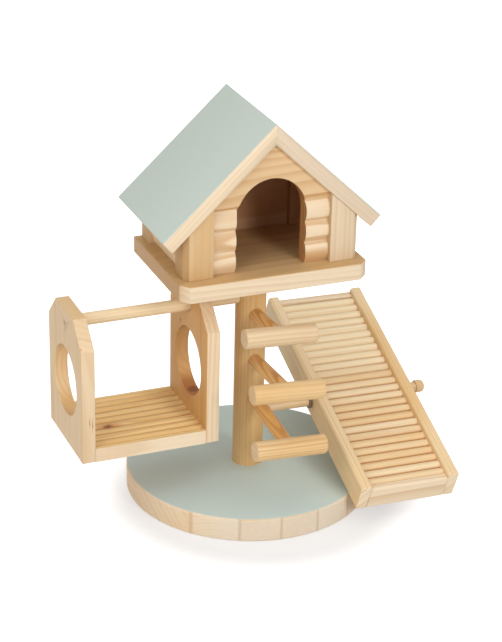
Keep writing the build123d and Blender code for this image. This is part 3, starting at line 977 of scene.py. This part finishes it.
def light_world(scene, sizes):
    """Even light on the object, and a white background where it is seen."""
    world = bpy.data.worlds.new("studio")
    world.use_nodes = True
    tree = world.node_tree
    tree.nodes.clear()
    feeds = {0: directly_seen(tree)}
    for key, strength in ((1, sizes.sky), (2, 1.0)):
        feeds[key] = add(tree, "ShaderNodeBackground", {"Color": (1, 1, 1), "Strength": strength})[0]
    add(tree, "ShaderNodeOutputWorld", {"Surface": wire("ShaderNodeMixShader", feeds)[0]})
    scene.world = world


def add_lamp(name, place, size, power):
    """Round lamp that looks at the object."""
    lamp = bpy.data.lights.new(name, "AREA")
    lamp.shape = "DISK"
    lamp.size = size
    lamp.energy = power
    obj = new_piece(name, lamp)
    obj.location = place
    obj.rotation_euler = (LAMP_AIM - place).to_track_quat("-Z", "Y").to_euler()


def add_camera(scene, sizes):
    """Camera of the photograph."""
    camera = bpy.data.cameras.new("camera")
    camera.sensor_width = 36
    camera.lens = sizes.lens
    camera.clip_end = 30
    obj = new_piece("camera", camera)
    turn = Matrix.Rotation(sizes.azimuth, 4, "Z") @ Matrix.Rotation(math.pi / 2 - sizes.elevation, 4, "X")
    turn = turn @ Matrix.Rotation(sizes.roll, 4, "Z")
    obj.matrix_world = Matrix.Translation(sizes.aim) @ turn @ Matrix.Translation((0, 0, sizes.distance))
    scene.camera = obj


# Operators


class PLAYHOUSE_OT_base(bpy.types.Operator):
    """Round base of glued strips, painted on top, and the post on it"""

    bl_idname = "playhouse.base"
    bl_label = "Base and post"

    def execute(self, context):
        boards = settings("boards")
        radius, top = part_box("base")[1].x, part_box("base")[1].z
        profile = rod(0, top, radius, boards.rim)
        profile.insert(-1, (top, radius / 2))
        base = turned("base_disc", profile, (0, 0, 0), UP, 192)
        wood = wood_of(
            "base wood", ALONG_Y, strips=(boards.strip, boards.strip_start),
            paint=(settings("paint").base, UP, top),
        )
        put(base, "base", "stand", wood)
        finish_node("post", wood_of("post wood", UP))
        return {"FINISHED"}


class PLAYHOUSE_OT_perches(bpy.types.Operator):
    """Three perch bars on their stems"""

    bl_idname = "playhouse.perches"
    bl_label = "Perches"

    def execute(self, context):
        boards = settings("boards")
        half = boards.bar_length / 2
        profile = rod(-half, half, boards.bar_thickness / 2, boards.bar_end)
        for number, name in enumerate(("upper", "middle", "lower")):
            node = f"perch_bar_{name}"
            way = bar_direction(node)
            bar = turned(f"{node}_turned", profile, middle(node), way, 64)
            put(bar, node, "stand", wood_of(f"perch bar {name}", way))
            stem = wood_of(
                f"perch stem {name}", (0, 1, 0.05), "perch stem", pith=(9, 13 + 5 * number), piece=31 + number
            )
            finish_node(f"perch_stem_{name}", stem)
        return {"FINISHED"}


class PLAYHOUSE_OT_house(bpy.types.Operator):
    """Deck, corner posts and log walls of the house"""

    bl_idname = "playhouse.house"
    bl_label = "House"

    def execute(self, context):
        boards = settings("boards")
        soft = boards.edge * HOUSE_EDGE
        put(softened("deck", "deck_board", soft), "deck", "stand", wood_of("deck wood", ALONG_X))
        posts = {"front_left": 0.5, "front_right": 0.12, "back_left": 0.6, "back_right": 0.6}
        for number, (corner, warmth) in enumerate(posts.items(), 5):
            node = f"house_post_{corner}"
            wood = wood_of(
                f"corner post {corner}", UP, "corner post", pith=(30 - 9 * number, 36 + 3 * number),
                piece=50 + number, warmth=warmth,
            )
            put(softened(node, f"corner_post_{corner}", soft), node, "stand", wood)
        low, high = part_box("front_wall")
        margin = Vector((MM, MM, MM))
        foot = low - margin + UP * (boards.log_courses + MM)
        gable = (foot, high + margin, GABLE_TONE)
        finish_node("front_wall", wood_of("front wall wood", ALONG_X, parts=[gable]))
        finish_node("back_wall", wood_of("back wall wood", ALONG_X))
        for wall, number in (("left_wall", 71), ("right_wall", 74)):
            finish_node(wall, wood_of(f"{wall} wood", ALONG_Y, "side wall", piece=number))
        return {"FINISHED"}


class PLAYHOUSE_OT_roof(bpy.types.Operator):
    """Two roof boards, painted on top and bare at their edges"""

    bl_idname = "playhouse.roof"
    bl_label = "Roof"

    def execute(self, context):
        boards = settings("boards")
        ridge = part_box("roof_left")[1]
        for way, side in ((-1, "left"), (1, "right")):
            name = f"roof_{side}"
            board = softened(
                name, f"{name}_board", boards.roof_edge, keep=lambda at: abs(at.x - ridge.x) < MITRE
            )
            tilt = Matrix.Rotation(way * roof_slope(name, way), 3, "Y")
            out = tilt @ UP
            wood = wood_of(
                f"{name} wood", tilt @ ALONG_X * way, "roof", pith=(38 * way, 30 + 8 * way), piece=80 + way,
                tint=ROOF_TINTS[side], paint=(settings("paint").roof, out, out.dot(ridge)),
            )
            put(board, name, "stand", wood)
        return {"FINISHED"}


class PLAYHOUSE_OT_swing(bpy.types.Operator):
    """Swing: its dowel, its two boards and its reeded floor"""

    bl_idname = "playhouse.swing"
    bl_label = "Swing"

    def execute(self, context):
        finish_node("swing_dowel", wood_of("swing dowel", ALONG_X))
        for side, bore_tone in BORE_TONES.items():
            node = f"swing_board_{side}"
            board = softened(node, f"swing_side_{side}", settings("boards").edge)
            if side == "left":
                board = countersunk(board)
            bore = (*bore_box(node), bore_tone)
            put(board, node, "swing", wood_of(f"swing board {side}", UP, parts=[bore]))

        low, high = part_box("swing_floor")
        ridges = settings("ridges")
        rise = ridges.swing_rise
        wood = wood_of("swing floor wood", ALONG_X, spread=ridges.swing_spread)
        mesh = ridge_row("swing", high.z - low.z, high.x - low.x, ridges.seed, wood)
        mesh.transform(Matrix.Translation(((low.x + high.x) / 2, 0, high.z - rise)))
        add_margins(mesh, low, high, ridges.swing_ridges * ridges.swing_pitch / 2, rise)
        put_floor("swing", mesh, wood)
        return {"FINISHED"}


class PLAYHOUSE_OT_seesaw(bpy.types.Operator):
    """Seesaw: its axle, rails, end boards and reeded floor"""

    bl_idname = "playhouse.seesaw"
    bl_label = "Seesaw"

    def execute(self, context):
        ridges = settings("ridges")
        soft = SEESAW_EDGE * settings("boards").edge
        upright = AXLE_WAY.cross(ALONG_Y)
        level = Matrix((AXLE_WAY, ALONG_Y, upright)).transposed().to_4x4()
        turn = level @ Matrix.Rotation(REST_TILT, 4, "X")
        along = turn.to_3x3() @ ALONG_Y
        finish_node("seesaw_axle", wood_of("axle wood", AXLE_WAY))
        for side, number, pith, warmth in (("left", 113, (2, -118), 0.25), ("right", 117, (70, -128), 0.45)):
            node = f"seesaw_rail_{side}"
            wood = wood_of(f"rail {side}", along, "rail", pith=pith, piece=number, warmth=warmth)
            put(softened(node, f"rail_{side}", soft), node, "seesaw", wood)
        for end, number in (("front", 121), ("back", 125)):
            node = f"seesaw_end_{end}"
            wood = wood_of(f"end board {end}", AXLE_WAY, "end board", piece=number)
            put(softened(node, f"end_board_{end}", soft), node, "seesaw", wood)

        wood = wood_of("seesaw ridges wood", AXLE_WAY, spread=ridges.seesaw_spread)
        mesh = ridge_row("seesaw", ridges.seesaw_thickness, ridges.seesaw_width, ridges.seed + 4, wood)
        lift = Matrix.Translation((0, 0, ridges.seesaw_top - ridges.seesaw_rise))
        mesh.transform(Matrix.Translation(AXLE) @ turn @ lift)
        put_floor("seesaw", mesh, wood)
        return {"FINISHED"}


class PLAYHOUSE_OT_fittings(bpy.types.Operator):
    """Knob and rubber rings of the axle, and the screw that holds the swing's far board"""

    bl_idname = "playhouse.fittings"
    bl_label = "Fittings"

    def execute(self, context):
        sizes = settings("fittings")
        start, span, radius = on_axle("axle_knob")
        soft = sizes.knob_round
        profile = [
            (0, 0), (0, radius - KNOB_EDGE), (KNOB_EDGE, radius),
            *[(span - soft + y, radius - soft + x) for x, y in arc((0, 0), soft, 0, 90, 8)],
            (span, 0),
        ]
        put_on_axle("axle_knob", start, profile, wood_of("knob wood", AXLE_WAY))

        rubber = plain("ring rubber", sizes.rubber, 0.55, 0.0)
        for ring in ("inner", "outer"):
            node = f"stop_ring_{ring}"
            start, span, radius = on_axle(node)
            profile = rod(0, span, radius, min(sizes.ring_round, span / 2.2), 5)
            put_on_axle(node, start, profile, rubber)

        metal = plain("screw metal", sizes.screw_metal, 0.38, 1.0)
        outline = [(0, 0), (0, 0.9), (0.15, 1.0), (0.35, 0.96), (0.5, 0.7), (0.5, 0.25), (0.3, 0)]
        profile = [(height * MM, sizes.screw / 2 * part) for height, part in outline]
        head = turned("screw_head", profile, (0, 0, 0), TO_LEFT, 24)
        place = middle("swing_dowel")
        place.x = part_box("swing_board_left")[0].x + SCREW_SEAT
        places = bpy.data.meshes.new("screw places")
        places.from_pydata([place], [], [])
        values = {"Piece": head, "Seed": 1, "Material": metal}
        mesh = made_real(new_piece("screw_places", places), places_tree(), values, "swing_screw")
        bpy.data.objects.remove(head)
        smooth_mesh(mesh)
        dress(new_piece("swing_screw", mesh), "swing", metal)
        return {"FINISHED"}


class PLAYHOUSE_OT_stage(bpy.types.Operator):
    """Pale floor, soft studio light and the camera"""

    bl_idname = "playhouse.stage"
    bl_label = "Stage"

    def execute(self, context):
        sizes = settings("stage")
        scene = context.scene
        scene.view_settings.view_transform = "Standard"
        add_floor(sizes)
        light_world(scene, sizes)
        for name, (place, size) in LAMPS.items():
            add_lamp(f"{name}_lamp", Vector(place), size, getattr(sizes, name))
        add_camera(scene, sizes)
        return {"FINISHED"}


OPERATORS = [
    PLAYHOUSE_OT_base, PLAYHOUSE_OT_perches, PLAYHOUSE_OT_house, PLAYHOUSE_OT_roof, PLAYHOUSE_OT_swing,
    PLAYHOUSE_OT_seesaw, PLAYHOUSE_OT_fittings, PLAYHOUSE_OT_stage,
]


class PLAYHOUSE_PT_panel(bpy.types.Panel):
    """Sizes, colours and steps of the play house"""

    bl_idname = "PLAYHOUSE_PT_panel"
    bl_label = "Play house"
    bl_space_type = "VIEW_3D"
    bl_region_type = "UI"
    bl_category = "Play house"

    def draw(self, context):
        for key, group in SETTINGS.items():
            box = self.layout.box()
            for prop in group.__annotations__:
                box.prop(getattr(context.scene, key), prop)
        for step in OPERATORS:
            self.layout.operator(step.bl_idname)


CLASSES = [*SETTINGS.values(), *OPERATORS, PLAYHOUSE_PT_panel]


def register():
    for cls in CLASSES:
        bpy.utils.register_class(cls)
    for key, group in SETTINGS.items():
        setattr(bpy.types.Scene, key, bpy.props.PointerProperty(type=group))


def unregister():
    for key in SETTINGS:
        delattr(bpy.types.Scene, key)
    for cls in reversed(CLASSES):
        bpy.utils.unregister_class(cls)


def main():
    register()
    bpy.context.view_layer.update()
    for step in OPERATORS:
        module, name = step.bl_idname.split(".")
        getattr(getattr(bpy.ops, module), name)()


if __name__ == "__main__":
    main()
